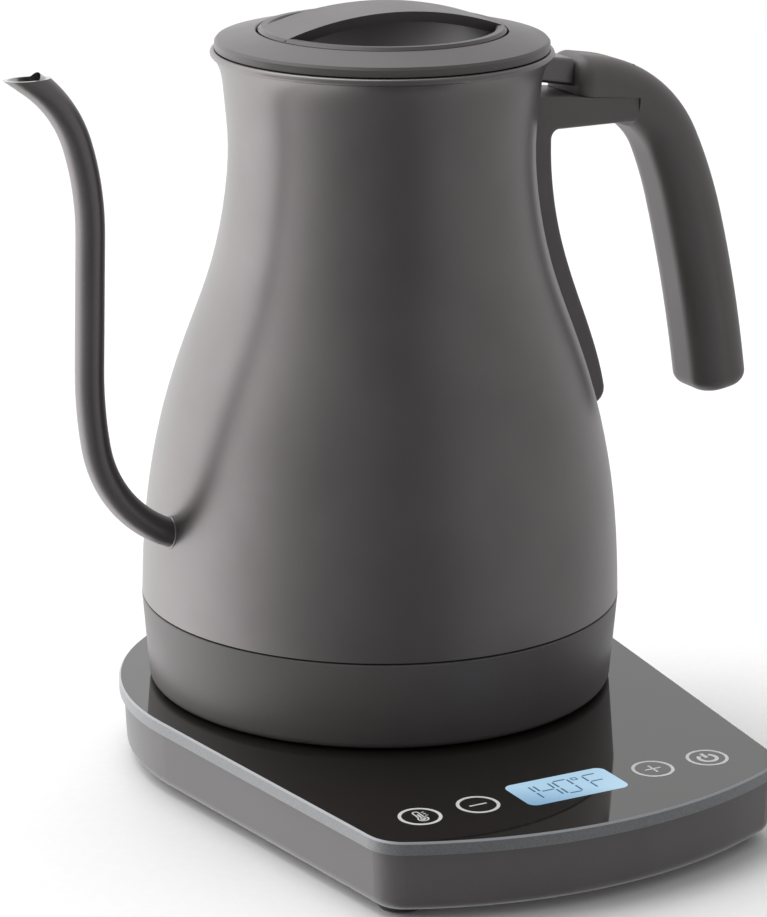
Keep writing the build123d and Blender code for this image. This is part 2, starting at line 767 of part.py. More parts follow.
# steel neck welded under the rim, with a tongue inside the grip's arm
neck_bottom = ((40.0, 140.0), (arm_start_x - 0.1, 136.9))
neck_top = ((arm_start_x - 0.1, 144.6), (40.0, 147.2))
with BuildPart() as handle_neck:
    with BuildSketch(Plane.XZ):
        Polygon(*lifted(neck_bottom + neck_top), align=None)
    extrude(amount=neck_half_width, both=True)
    side_edges = handle_neck.faces().filter_by(Axis.Y).edges()
    fillet(side_edges.filter_by(lambda edge: edge.length > 10), 1.2)
    with BuildSketch(Plane.XZ):
        with Locations(((arm_start_x + tongue_end_x) / 2 - 0.2, (tongue_bottom + tongue_top) / 2)):
            Rectangle(tongue_end_x - arm_start_x, tongue_top - tongue_bottom)
    extrude(amount=neck_half_width, both=True)
    with BuildSketch(Plane.XY.offset(tongue_bottom)):
        with Locations(*[(x, 0) for x in grip_screw_x]):
            Circle(grip_screw_shank + 0.05)
    extrude(amount=tongue_top - tongue_bottom, mode=Mode.SUBTRACT)
    add(body_form.part, mode=Mode.SUBTRACT)
save(handle_neck, "handle_neck")

with BuildPart() as handle_screws:
    with BuildSketch(Plane.XY.offset(seam_z + bar_bottom + 0.3)):
        with Locations(*[(x, 0) for x in grip_screw_x]):
            Circle(grip_screw_head)
    extrude(amount=2.1)
    with BuildSketch(Plane.XY.offset(seam_z + bar_bottom + 2.4)):
        with Locations(*[(x, 0) for x in grip_screw_x]):
            Circle(grip_screw_shank)
    extrude(amount=tongue_top - seam_z - bar_bottom - 3.0)
    with BuildSketch(Plane.XY.offset(seam_z + bar_bottom + 0.3)):
        with Locations(*[(x, 0) for x in grip_screw_x]):
            RegularPolygon(grip_screw_head / 2, 6)
    extrude(amount=1.2, mode=Mode.SUBTRACT)
save(handle_screws, "handle_screws")

# ---------------------------------------------------------------- lid, round parts
# cup that closes the neck, with a flange that rests on the flared rim
cup_wall = 1.2
cup_bottom = seam_z + 137.0
flange_top = seam_z + 151.5
flange_radius = 43.6
cup_screw_radius = 1.5
lid_cup = turned(
    (cup_screw_radius + 0.2, cup_bottom), (cup_radius - 1.5, cup_bottom),
    (cup_radius, cup_bottom + 1.5), (cup_radius, seam_z + 146.0),
    (flange_radius, seam_z + 149.8), (flange_radius, flange_top),
    (cup_radius - cup_wall, flange_top), (cup_radius - cup_wall, cup_bottom + cup_wall + 1.0),
    (cup_radius - cup_wall - 1.0, cup_bottom + cup_wall),
    (cup_screw_radius + 0.2, cup_bottom + cup_wall))
save(lid_cup, "lid_cup")

seal_z = seam_z + 141.2
seal_radius = cup_radius + 1.2
lid_seal = turned(
    (cup_radius, seal_z), (seal_radius, seal_z + 0.8), (cup_radius + 0.4, seal_z + 1.2),
    (seal_radius + 0.1, seal_z + 2.2), (cup_radius + 0.4, seal_z + 2.6), (cup_radius, seal_z + 2.6))
save(lid_seal, "lid_seal")

# ---------------------------------------------------------------- lid, turning parts
ring_bottom = flange_top + 0.3
lid_ring = turned(
    (lid_gap_radius, ring_bottom), (lid_ring_radius, ring_bottom),
    (lid_ring_radius, lid_ring_z - 0.6), (lid_ring_radius - 0.6, lid_ring_z + 0.1),
    (lid_gap_radius + 0.3, lid_gap_z), (lid_gap_radius, lid_gap_z - 0.3))
save(lid_ring, "lid_ring")

insert_radius = lid_gap_radius - insert_gap
bowl_floor = insert_z - bowl_depth
bowl_wall = 1.6
bridge_x = (cos(radians(bridge_angle)), sin(radians(bridge_angle)), 0)
bridge_normal = (sin(radians(bridge_angle)), -cos(radians(bridge_angle)), 0)
bridge_plane = Plane(origin=(0, 0, 0), x_dir=bridge_x, z_dir=bridge_normal)
bridge_thickness = 2.8
stem_radius = 4.0
bridge_reach = bowl_radius + 1.4
with BuildPart() as lid_insert:
    with BuildSketch(Plane.XZ):
        with BuildLine():
            bowl = Spline((bowl_radius, insert_z - 0.4), (27.4, bowl_floor + 5.0),
                          (19.0, bowl_floor), tangents=((0, -1), (-1, 0)))
            Polyline(bowl @ 1, (0, bowl_floor), (0, bowl_floor - bowl_wall),
                     (24.0, bowl_floor - bowl_wall), (bowl_radius + 0.6, bowl_floor + 5.0),
                     (bowl_radius + 0.6, ring_bottom - 2.0), (insert_radius, ring_bottom - 2.0),
                     (insert_radius, insert_z - 0.8), (insert_radius - 0.8, insert_z),
                     (bowl_radius + 0.5, insert_z), bowl @ 0)
        make_face()
    revolve(axis=Axis.Z)
    with BuildSketch(bridge_plane):
        with BuildLine():
            crown = ThreePointArc((-bridge_reach, insert_z - 0.4), (0, bridge_top),
                                  (bridge_reach, insert_z - 0.4))
            belly = ThreePointArc((bridge_reach, insert_z - 3.4), (0, bridge_top - bridge_thickness),
                                  (-bridge_reach, insert_z - 3.4))
            Line(crown @ 1, belly @ 0)
            Line(belly @ 1, crown @ 0)
        make_face()
    extrude(amount=bridge_half_width, both=True)
    with BuildSketch(Plane.XY.offset(bowl_floor - bowl_wall)):
        Circle(stem_radius)
    extrude(amount=-(bowl_floor - bowl_wall - cup_bottom - cup_wall - 0.2))
    with BuildSketch(Plane.XY.offset(cup_bottom + cup_wall + 0.2)):
        Circle(cup_screw_radius)
    extrude(amount=3.6, mode=Mode.SUBTRACT)
save(lid_insert, "lid_insert")

with BuildPart() as lid_screw:
    with BuildSketch(Plane.XY.offset(cup_bottom - 1.4)):
        Circle(3.0)
        Rectangle(3.6, 0.8, mode=Mode.SUBTRACT)
        Rectangle(0.8, 3.6, mode=Mode.SUBTRACT)
    extrude(amount=1.4)
    with BuildSketch(Plane.XY.offset(cup_bottom)):
        Circle(cup_screw_radius - 0.05)
    extrude(amount=4.6)
save(lid_screw, "lid_screw")
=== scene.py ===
"""Looks for the gooseneck kettle: finishes, printed controls, lit display, bare steel
lip of the spout, floor, light and camera. Sizes are in millimetres until they are
turned into metres for Blender.
"""

from math import cos, pi, radians, sin

import bmesh
import bpy
from mathutils import Matrix, Vector
from mathutils.bvhtree import BVHTree


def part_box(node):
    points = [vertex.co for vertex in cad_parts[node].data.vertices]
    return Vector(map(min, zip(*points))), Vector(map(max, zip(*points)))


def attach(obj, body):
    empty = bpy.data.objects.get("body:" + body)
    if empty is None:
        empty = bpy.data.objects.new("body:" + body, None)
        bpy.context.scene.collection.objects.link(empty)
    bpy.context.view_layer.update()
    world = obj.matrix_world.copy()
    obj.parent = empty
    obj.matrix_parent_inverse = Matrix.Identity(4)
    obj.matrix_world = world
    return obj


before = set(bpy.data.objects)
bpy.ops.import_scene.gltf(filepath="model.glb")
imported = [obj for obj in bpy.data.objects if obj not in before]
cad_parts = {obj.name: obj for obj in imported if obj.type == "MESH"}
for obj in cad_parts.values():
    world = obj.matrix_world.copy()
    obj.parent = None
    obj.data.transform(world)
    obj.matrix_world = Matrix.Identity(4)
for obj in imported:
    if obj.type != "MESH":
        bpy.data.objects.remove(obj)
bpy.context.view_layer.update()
MM = 0.001

# places, read from the frame
glass_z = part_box("glass_top")[1][2] / MM
shell_low, shell_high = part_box("body_shell")
seam_z = shell_low[2] / MM
rim_z = shell_high[2] / MM
rim_depth = 2.2
mouth_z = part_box("spout_tube")[1][2] / MM
control_y = (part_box("display_module")[0][1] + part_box("display_module")[1][1]) / 2 / MM

# sizes of the controls
display_size = (30.0, 15.2)
display_corner = 2.5
key_ring_radius = 5.25
key_ring_width = 0.9
key_places = {"heat": -43.5, "minus": -26.5, "plus": 26.5, "power": 43.5}
print_height = 0.05
reading_height = 0.03

# the spout's centre line, in the XZ plane: bends are (radius, turn)
spout_root = (-61.1, seam_z + 23.1)
spout_heading = 157.0
root_length = 4.3
elbow_bends = ((35.2, -57.8), (116.0, -10.7))
riser_length = 35.9
crook_bends = ((78.7, 18.0), (33.5, 37.0))
spout_radius = 3.9
spout_bore = 3.2

# the camera's place and aim
view_azimuth = 28.8
view_pitch = 16.62
view_roll = 0.27
camera_place = (-468.8, -854.5, seam_z + 327.4)
lens_length = 144.06


# ---------------------------------------------------------------- finishes
def surface(name):
    """A new node material with its shader and a helper that adds linked nodes."""
    material = bpy.data.materials.new(name)
    material.use_nodes = True
    tree = material.node_tree

    def node(kind, inputs=None, **settings):
        made = tree.nodes.new(kind)
        for key, value in settings.items():
            setattr(made, key, value)
        for key, value in (inputs or {}).items():
            if isinstance(value, bpy.types.NodeSocket):
                tree.links.new(value, made.inputs[key])
            else:
                made.inputs[key].default_value = value
        return made

    return material, tree.nodes["Principled BSDF"], node, tree.links


def grey(value):
    """An opaque grey as a colour."""
    return (value, value, value, 1.0)


def finish(name, colour, roughness, metallic=0.0, grain=0.5, depth=0.012, mottling=0.1,
           patch=18.0, coat=0.0, stretch=(1, 1, 1)):
    """A finish with a fine grain, uneven tone and uneven gloss.

    grain, depth and patch are the grain's size, its depth and the size of the uneven
    patches, in millimetres. stretch draws the grain out along an axis, as brushing does.
    """
    material, shader, node, links = surface(name)
    place = node("ShaderNodeTexCoord").outputs["Object"]
    drawn = node("ShaderNodeMapping", {"Vector": place, "Scale": stretch}).outputs["Vector"]
    fine = node("ShaderNodeTexNoise", {"Vector": drawn, "Scale": 1 / (grain * MM), "Detail": 3.0,
                                       "Roughness": 0.6}).outputs["Fac"]
    broad = node("ShaderNodeTexNoise", {"Vector": place, "Scale": 1 / (patch * MM), "Detail": 4.0,
                                        "Roughness": 0.55}).outputs["Fac"]
    tone = node("ShaderNodeMapRange", {"Value": broad, "From Min": 0.3, "From Max": 0.7,
                                       "To Min": 1 - mottling, "To Max": 1 + mottling})
    speck = node("ShaderNodeMapRange", {"Value": fine, "From Min": 0.3, "From Max": 0.7,
                                        "To Min": 1 - mottling, "To Max": 1 + mottling})
    level = node("ShaderNodeMath", {0: tone.outputs[0], 1: speck.outputs[0]}, operation="MULTIPLY")
    shade = node("ShaderNodeVectorMath", {0: colour[:3], "Scale": level.outputs[0]},
                 operation="SCALE")
    gloss = node("ShaderNodeMapRange", {"Value": broad, "From Min": 0.3, "From Max": 0.7,
                                        "To Min": roughness - 0.03, "To Max": roughness + 0.03})
    relief = node("ShaderNodeBump", {"Height": fine, "Distance": depth * MM, "Strength": 1.0})
    links.new(shade.outputs[0], shader.inputs["Base Color"])
    links.new(gloss.outputs[0], shader.inputs["Roughness"])
    links.new(relief.outputs[0], shader.inputs["Normal"])
    shader.inputs["Metallic"].default_value = metallic
    shader.inputs["Coat Weight"].default_value = coat
    shader.inputs["Coat Roughness"].default_value = 0.25
    return material


def coat_with_bare_inside():
    """The body's powder coat outside; brushed steel on faces that look at the axis."""
    material, coat, node, links = surface("graphite_coat_body")
    coordinates = node("ShaderNodeTexCoord")
    place = coordinates.outputs["Object"]
    normal = coordinates.outputs["Normal"]
    inward = node("ShaderNodeVectorMath", {0: place, 1: normal}, operation="DOT_PRODUCT")
    height = node("ShaderNodeSeparateXYZ", {0: place}).outputs["Z"]
    rise = node("ShaderNodeSeparateXYZ", {0: normal}).outputs["Z"]
    lift = node("ShaderNodeMath", {0: height, 1: rise}, operation="MULTIPLY")
    radial = node("ShaderNodeMath", {0: inward.outputs["Value"], 1: lift.outputs[0]},
                  operation="SUBTRACT")
    looks_in = node("ShaderNodeMath", {0: radial.outputs[0], 1: 0.0}, operation="LESS_THAN")
    below_rim = node("ShaderNodeMath", {0: height, 1: (rim_z - rim_depth) * MM}, operation="LESS_THAN")
    inside = node("ShaderNodeMath", {0: looks_in.outputs[0], 1: below_rim.outputs[0]},
                  operation="MULTIPLY").outputs[0]
    peel = node("ShaderNodeTexNoise", {"Vector": place, "Scale": 1 / (0.9 * MM), "Detail": 3.0})
    cloud = node("ShaderNodeTexNoise", {"Vector": place, "Scale": 1 / (22 * MM), "Detail": 4.0})
    rings = node("ShaderNodeMapping", {"Vector": place, "Scale": (0.02, 0.02, 1.0)})
    brushing = node("ShaderNodeTexNoise", {"Vector": rings.outputs[0], "Scale": 1 / (0.25 * MM),
                                           "Detail": 2.0})
    tone = node("ShaderNodeMapRange", {"Value": cloud.outputs["Fac"], "From Min": 0.3,
                                       "From Max": 0.7, "To Min": 0.94, "To Max": 1.06})
    painted = node("ShaderNodeVectorMath", {0: body_colour, "Scale": tone.outputs[0]},
                   operation="SCALE")
    colour = node("ShaderNodeMix", {"Factor": inside, "A": painted.outputs[0],
                                    "B": (0.6, 0.6, 0.59)}, data_type="VECTOR")
    gloss = node("ShaderNodeMix", {"Factor": inside, "A": body_roughness, "B": 0.3},
                 data_type="FLOAT")
    metal = node("ShaderNodeMix", {"Factor": inside, "A": body_metallic, "B": 1.0},
                 data_type="FLOAT")
    height_map = node("ShaderNodeMix", {"Factor": inside, "A": peel.outputs["Fac"],
                                        "B": brushing.outputs["Fac"]}, data_type="FLOAT")
    relief = node("ShaderNodeBump", {"Height": height_map.outputs[0], "Distance": 0.008 * MM})
    links.new(colour.outputs[1], coat.inputs["Base Color"])
    links.new(gloss.outputs[0], coat.inputs["Roughness"])
    links.new(metal.outputs[0], coat.inputs["Metallic"])
    links.new(relief.outputs[0], coat.inputs["Normal"])
    return material


def ground_glass():
    """Black back-printed glass: polished on top, a painted highlight (pale base colour) on the
    chamfer, frosted edge.
    """
    material, glass, node, links = surface("black_glass_sheet")
    place = node("ShaderNodeTexCoord").outputs["Object"]
    facing = node("ShaderNodeSeparateXYZ",
                  {0: node("ShaderNodeNewGeometry").outputs["True Normal"]}).outputs["Z"]
    edge = node("ShaderNodeMath", {0: facing, 1: 0.3}, operation="LESS_THAN").outputs[0]
    sloped = node("ShaderNodeMath", {0: facing, 1: 0.95}, operation="LESS_THAN").outputs[0]
    streaks = node("ShaderNodeMapping", {"Vector": place, "Scale": (1.0, 1.0, 0.8)})
    grinding = node("ShaderNodeTexNoise", {"Vector": streaks.outputs[0], "Scale": 1 / (0.45 * MM),
                                           "Detail": 5.0}).outputs["Fac"]
    frosted = node("ShaderNodeValToRGB", {0: grinding})
    frosted.color_ramp.elements[0].position = 0.35
    frosted.color_ramp.elements[0].color = (0.1, 0.105, 0.112, 1)
    frosted.color_ramp.elements[1].position = 0.75
    frosted.color_ramp.elements[1].color = (0.16, 0.168, 0.178, 1)
    # painted highlight: sloped faces (the chamfer) get a pale grey base colour that stands for the
    # light they catch; the frosted edge keeps its own ground-glass grey
    chamfer_highlight = node("ShaderNodeMix", {"Factor": sloped, "A": (0.017, 0.0145, 0.013),
                                    "B": (0.3, 0.31, 0.33)}, data_type="VECTOR")
    colour = node("ShaderNodeMix", {"Factor": edge, "A": chamfer_highlight.outputs[1],
                                    "B": frosted.outputs["Color"]}, data_type="VECTOR")
    smudge = node("ShaderNodeTexNoise", {"Vector": place, "Scale": 1 / (30 * MM), "Detail": 5.0})
    polish = node("ShaderNodeMapRange", {"Value": smudge.outputs["Fac"], "From Min": 0.35,
                                         "From Max": 0.75, "To Min": 0.02, "To Max": 0.05})
    gloss = node("ShaderNodeMix", {"Factor": sloped, "A": polish.outputs[0], "B": 0.3},
                 data_type="FLOAT")
    wave = node("ShaderNodeBump", {"Height": grinding, "Distance": 0.02 * MM, "Strength": edge})
    links.new(colour.outputs[1], glass.inputs["Base Color"])
    links.new(gloss.outputs[0], glass.inputs["Roughness"])
    links.new(wave.outputs[0], glass.inputs["Normal"])
    glass.inputs["IOR"].default_value = 1.85
    return material


def lit_panel():
    """The display's pale blue light, stronger towards its back right corner."""
    material, panel, node, links = surface("display_light")
    place = node("ShaderNodeSeparateXYZ",
                 {0: node("ShaderNodeTexCoord").outputs["Object"]})
    across = node("ShaderNodeMapRange", {"Value": place.outputs["X"],
                                         "From Min": -display_size[0] / 2 * MM,
                                         "From Max": display_size[0] / 2 * MM})
    along = node("ShaderNodeMapRange", {"Value": place.outputs["Y"],
                                        "From Min": (control_y - display_size[1] / 2) * MM,
                                        "From Max": (control_y + display_size[1] / 2) * MM})
    both = node("ShaderNodeMath", {0: across.outputs[0], 1: along.outputs[0]}, operation="ADD")
    ramp = node("ShaderNodeValToRGB", {0: both.outputs[0]})
    ramp.color_ramp.elements[0].position = 0.15
    ramp.color_ramp.elements[0].color = (0.235, 0.42, 0.62, 1)
    ramp.color_ramp.elements[1].position = 0.95
    ramp.color_ramp.elements[1].color = (0.46, 0.68, 0.85, 1)
    links.new(ramp.outputs["Color"], panel.inputs["Emission Color"])
    panel.inputs["Emission Strength"].default_value = 0.85
    panel.inputs["Base Color"].default_value = (0.05, 0.08, 0.11, 1)
    panel.inputs["Roughness"].default_value = 0.3
    return material


body_colour = (0.205, 0.191, 0.193)
body_roughness = 0.34
body_metallic = 0.88

finishes = {
    "body_coat": coat_with_bare_inside(),
    "coat": finish("graphite_coat", body_colour, body_roughness, metallic=body_metallic, grain=0.9,
                   depth=0.008, mottling=0.04),
    "plastic": finish("graphite_moulding", (0.098, 0.088, 0.088), 0.42, grain=0.35, depth=0.01,
                      mottling=0.06),
    "lid_plastic": finish("graphite_lid_moulding", (0.075, 0.067, 0.067), 0.35, grain=0.35,
                          depth=0.006, mottling=0.05),
    "tray_plastic": finish("graphite_tray_moulding", (0.095, 0.088, 0.089), 0.38, grain=0.4,
                           depth=0.012, mottling=0.06),
    "black_plastic": finish("black_moulding", (0.018, 0.018, 0.019), 0.5, grain=0.4, depth=0.01),
    "glass": ground_glass(),
    "rubber": finish("black_rubber", (0.02, 0.02, 0.02), 0.75, grain=0.3, depth=0.015,
                     mottling=0.2),
    "silicone": finish("grey_silicone", (0.3, 0.3, 0.31), 0.55, grain=0.6, depth=0.006),
    "steel": finish("bare_steel", (0.6, 0.6, 0.59), 0.24, metallic=1.0, grain=0.25, depth=0.004,
                    stretch=(1, 0.05, 1)),
    "screw": finish("bright_screw_steel", (0.5, 0.5, 0.5), 0.3, metallic=1.0, grain=0.2,
                    depth=0.005),
    "display": finish("display_module_case", (0.3, 0.5, 0.66), 0.3, grain=0.8, depth=0.002),
    "guide": finish("milky_light_guide", (0.75, 0.77, 0.78), 0.35, grain=1.0, depth=0.003),
    "board": finish("green_solder_mask", (0.012, 0.11, 0.04), 0.35, grain=1.4, depth=0.02,
                    mottling=0.3, coat=0.4),
    "relay": finish("black_relay_case", (0.015, 0.015, 0.02), 0.25, grain=0.5, depth=0.003),
    "tape": finish("yellow_winding_tape", (0.55, 0.38, 0.06), 0.4, grain=1.5, depth=0.01,
                   mottling=0.15, stretch=(0.1, 0.1, 1)),
    "aluminium": finish("cast_aluminium", (0.55, 0.55, 0.56), 0.42, metallic=1.0, grain=0.5,
                        depth=0.015),
    "brass": finish("contact_brass", (0.6, 0.42, 0.16), 0.3, metallic=1.0, grain=0.3,
                    depth=0.004),
    "print": finish("white_glass_print", (0.72, 0.71, 0.72), 0.5, grain=0.25, depth=0.004,
                    mottling=0.05),
    "segment": finish("display_segment", (0.09, 0.2, 0.33), 0.4, grain=0.3, depth=0.002,
                      mottling=0.08),
    "light": lit_panel(),
}
node_finishes = {
    "body_coat": ["body_shell"],
    "coat": ["spout_tube", "handle_neck"],
    "plastic": ["bottom_ring", "handle_grip", "handle_spine"],
    "lid_plastic": ["lid_ring", "lid_insert"],
    "tray_plastic": ["base_tray"],
    "black_plastic": ["base_frame", "base_plug", "socket_housing", "bottom_cover", "lid_cup",
                      "beeper"],
    "glass": ["glass_top"],
    "rubber": ["base_feet", "cord_grommet", "seam_band"],
    "silicone": ["lid_seal", "probe_seal"],
    "steel": ["body_floor", "water_probe"],
    "screw": ["base_screws", "cover_screws", "handle_screws", "lid_screw", "key_springs"],
    "display": ["display_module"],
    "guide": ["display_backlight"],
    "board": ["touch_board", "power_board"],
    "relay": ["power_relay"],
    "tape": ["supply_transformer"],
    "aluminium": ["filter_capacitors", "heat_spreader", "heating_element"],
    "brass": ["plug_contacts", "earth_pin", "socket_rings", "socket_earth_tube",
              "thermal_cutout"],
}
for key, names in node_finishes.items():
    for name in names:
        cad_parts[name].material_slots[0].material = finishes[key]


# ---------------------------------------------------------------- pieces
def piece(name, mesh_data, material, body):
    """A finished object from a bmesh in millimetres, riding on a body."""
    bmesh.ops.recalc_face_normals(mesh_data, faces=mesh_data.faces)
    bmesh.ops.scale(mesh_data, vec=(MM, MM, MM), verts=mesh_data.verts)
    mesh = bpy.data.meshes.new(name)
    mesh_data.to_mesh(mesh)
    mesh_data.free()
    mesh.shade_smooth()
    mesh.set_sharp_from_angle(angle=radians(35))
    made = bpy.data.objects.new(name, mesh)
    made.data.materials.append(material)
    bpy.context.scene.collection.objects.link(made)
    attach(made, body)
    return made


def stroke(mesh_data, points, width, low, high, closed=False):
    """A flat stroke of a printed sign along points in the XY plane."""
    count = len(points)
    rows = []
    for i, point in enumerate(points):
        before = points[i - 1] if closed or i > 0 else point
        after = points[(i + 1) % count] if closed or i < count - 1 else point
        way = (Vector(after) - Vector(before)).normalized()
        side = Vector((-way.y, way.x)) * width / 2
        corners = [Vector(point) + side, Vector(point) - side]
        rows.append([mesh_data.verts.new((c.x, c.y, z)) for c in corners for z in (low, high)])
    spans = range(count if closed else count - 1)
    for i in spans:
        a, b = rows[i], rows[(i + 1) % count]
        for j, k in ((0, 1), (1, 3), (3, 2), (2, 0)):
            mesh_data.faces.new((a[j], b[j], b[k], a[k]))
    if not closed:
        for row in (rows[0], rows[-1]):
            mesh_data.faces.new((row[0], row[1], row[3], row[2]))


def slab(mesh_data, outline, low, high):
    """A thin flat plate with the given outline."""
    lower = [mesh_data.verts.new((x, y, low)) for x, y in outline]
    upper = [mesh_data.verts.new((x, y, high)) for x, y in outline]
    mesh_data.faces.new(lower)
    mesh_data.faces.new(upper)
    for i in range(len(outline)):
        j = (i + 1) % len(outline)
        mesh_data.faces.new((lower[i], lower[j], upper[j], upper[i]))


def arc(centre, radius, start, end, steps):
    """Points on an arc, angles in degrees."""
    angles = [radians(start + (end - start) * i / steps) for i in range(steps + 1)]
    return [(centre[0] + radius * cos(a), centre[1] + radius * sin(a)) for a in angles]


def sign(name, strokes, discs=()):
    """One touch key's print: its ring and the strokes and discs inside it."""
    mesh_data = bmesh.new()
    low, high = glass_z, glass_z + print_height
    centre = (key_places[name], control_y)
    ring = arc(centre, key_ring_radius, 0, 360, 72)[:-1]
    stroke(mesh_data, ring, key_ring_width, low, high, closed=True)
    for points, width, closed in strokes:
        placed = [(centre[0] + x, centre[1] + y) for x, y in points]
        stroke(mesh_data, placed, width, low, high, closed)
    for (x, y), radius in discs:
        slab(mesh_data, arc((centre[0] + x, centre[1] + y), radius, 0, 360, 32)[:-1], low, high)
    piece(f"key_print_{name}", mesh_data, finishes["print"], "power_base")


stem = arc((0, -1.7), 1.35, 125, 415, 20) + arc((0, 2.4), 0.78, 0, 180, 10)
sign("heat", [(stem, 0.4, True), ([(0, -1.7), (0, 1.4)], 0.5, False),
              ([(1.5, 2.2), (2.3, 2.2)], 0.35, False), ([(1.5, 1.1), (2.3, 1.1)], 0.35, False),
              ([(1.5, 0.0), (2.3, 0.0)], 0.35, False)], [((0, -1.7), 0.75)])
sign("minus", [([(-2.5, 0), (2.5, 0)], 0.6, False)])
sign("plus", [([(-2.4, 0), (2.4, 0)], 0.6, False), ([(0, 0.3), (0, 2.4)], 0.6, False),
              ([(0, -0.3), (0, -2.4)], 0.6, False)])
sign("power", [(arc((0, -0.3), 2.4, 125, 415, 40), 1.1, False),
               ([(0, 0.0), (0, 3.1)], 1.1, False)])

# the display's window, and its reading in seven-segment figures
half_x, half_y = display_size[0] / 2, display_size[1] / 2
inner_x, inner_y = half_x - display_corner, half_y - display_corner
window = []
for corner_x, corner_y, start in ((inner_x, inner_y, 0), (-inner_x, inner_y, 90),
                                  (-inner_x, -inner_y, 180), (inner_x, -inner_y, 270)):
    window += arc((corner_x, control_y + corner_y), display_corner, start, start + 90, 10)
window_mesh = bmesh.new()
slab(window_mesh, window, glass_z, glass_z + print_height)
piece("display_window", window_mesh, finishes["light"], "power_base")

figure_width, figure_height, segment_width = 4.4, 8.8, 0.55
segment_gap = 0.45
degree_half, degree_width = 0.7, 0.5
degree_place = (4.4, control_y + 3.6)
lit_segments = {"1": "BC", "4": "FGBC", "0": "ABCDEF", "F": "AEFG"}
segment_ends = {"A": ((-1, 1), (1, 1)), "B": ((1, 1), (1, 0)), "C": ((1, 0), (1, -1)),
                "D": ((-1, -1), (1, -1)), "E": ((-1, 0), (-1, -1)), "F": ((-1, 1), (-1, 0)),
                "G": ((-1, 0), (1, 0))}
segment_low = glass_z + print_height
reading = bmesh.new()
for figure, place_x in (("1", -11.4), ("4", -5.6), ("0", 0.2), ("F", 9.2)):
    for segment in lit_segments[figure]:
        ends = [Vector((place_x + x * figure_width / 2, control_y + y * figure_height / 2))
                for x, y in segment_ends[segment]]
        way = (ends[1] - ends[0]).normalized() * segment_gap
        stroke(reading, [ends[0] + way, ends[1] - way], segment_width, segment_low,
               segment_low + reading_height)
degree = [(degree_place[0] + x * degree_half, degree_place[1] + y * degree_half)
          for x, y in ((-1, -1), (1, -1), (1, 1), (-1, 1))]
stroke(reading, degree, degree_width, segment_low, segment_low + reading_height, closed=True)
piece("display_reading", reading, finishes["segment"], "power_base")


# the spout's bare steel: a lining near the mouth and the cut lip
def bend(point, heading, radius, turn):
    """The end of a tangent arc in the XZ plane, and its heading there."""
    side = 1 if turn > 0 else -1
    centre = (point[0] - side * radius * sin(radians(heading)),
              point[1] + side * radius * cos(radians(heading)))
    heading += turn
    return (centre[0] + side * radius * sin(radians(heading)),
            centre[1] - side * radius * cos(radians(heading))), heading


def forward(point, heading, length):
    """The end of a straight run in the XZ plane."""
    return (point[0] + length * cos(radians(heading)), point[1] + length * sin(radians(heading)))


def ring_points(point, heading, radius, count=48):
    """A circle round the centre line, square to it."""
    across = Vector((-sin(radians(heading)), 0, cos(radians(heading))))
    middle = Vector((point[0], 0, point[1]))
    turns = [2 * pi * i / count for i in range(count)]
    return [middle + across * radius * cos(t) + Vector((0, radius * sin(t), 0)) for t in turns]


def to_mouth(points, heading):
    """Points of a circle carried along the heading to the cut at the mouth."""
    way = Vector((cos(radians(heading)), 0, sin(radians(heading))))
    return [p + way * ((mouth_z - p.z) / way.z) for p in points]


def skin(mesh_data, rings):
    """Faces between rings of the same number of points, one after the other."""
    made = [[mesh_data.verts.new(p) for p in ring] for ring in rings]
    for a, b in zip(made, made[1:]):
        for i in range(len(a)):
            j = (i + 1) % len(a)
            mesh_data.faces.new((a[i], a[j], b[j], b[i]))


centre_point = forward(spout_root, spout_heading, root_length)
centre_heading = spout_heading
for radius, turn in elbow_bends:
    centre_point, centre_heading = bend(centre_point, centre_heading, radius, turn)
centre_point = forward(centre_point, centre_heading, riser_length)
centre_point, centre_heading = bend(centre_point, centre_heading, *crook_bends[0])
last_radius, last_turn = crook_bends[1]
lining_rings = []
lining_steps, first_lining_step = 12, 4
skin_gap, lip_gap = 0.03, 0.02
for i in range(first_lining_step, lining_steps + 1):
    place, way = bend(centre_point, centre_heading, last_radius, last_turn * i / lining_steps)
    lining_rings.append(ring_points(place, way, spout_bore - skin_gap))
mouth_place, mouth_heading = bend(centre_point, centre_heading, last_radius, last_turn)
inner_lip = to_mouth(lining_rings[-1], mouth_heading)
outer_lip = to_mouth(ring_points(mouth_place, mouth_heading, spout_radius - lip_gap), mouth_heading)
raised = Vector((0, 0, skin_gap))
lining = bmesh.new()
skin(lining, lining_rings + [[p + raised for p in inner_lip], [p + raised for p in outer_lip],
                             outer_lip])
piece("spout_steel", lining, finishes["steel"], "kettle")

# bead of weld where the spout leaves the body, found on the body itself
body_tree = BVHTree.FromObject(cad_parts["body_shell"],
                               bpy.context.evaluated_depsgraph_get())
weld_radius = 0.4
weld_search = 6.0
weld_spread = 0.05
weld_sides = 12
spout_way = Vector((cos(radians(spout_heading)), 0, sin(radians(spout_heading))))
weld_path = []
for point in ring_points(forward(spout_root, spout_heading, root_length + weld_search),
                         spout_heading, spout_radius + weld_spread, 64):
    hit = body_tree.ray_cast(point * MM, -spout_way)[0]
    weld_path.append(hit / MM)
weld_centre = sum(weld_path, Vector()) / len(weld_path)
weld_rings = []
for point in weld_path + weld_path[:1]:
    outward = (point - weld_centre).normalized()
    weld_rings.append([point + (outward * cos(t) + spout_way * sin(t)) * weld_radius
                       for t in [2 * pi * i / weld_sides for i in range(weld_sides)]])
weld = bmesh.new()
skin(weld, weld_rings)
bmesh.ops.remove_doubles(weld, verts=weld.verts, dist=0.001)
piece("spout_weld", weld, finishes["coat"], "kettle")

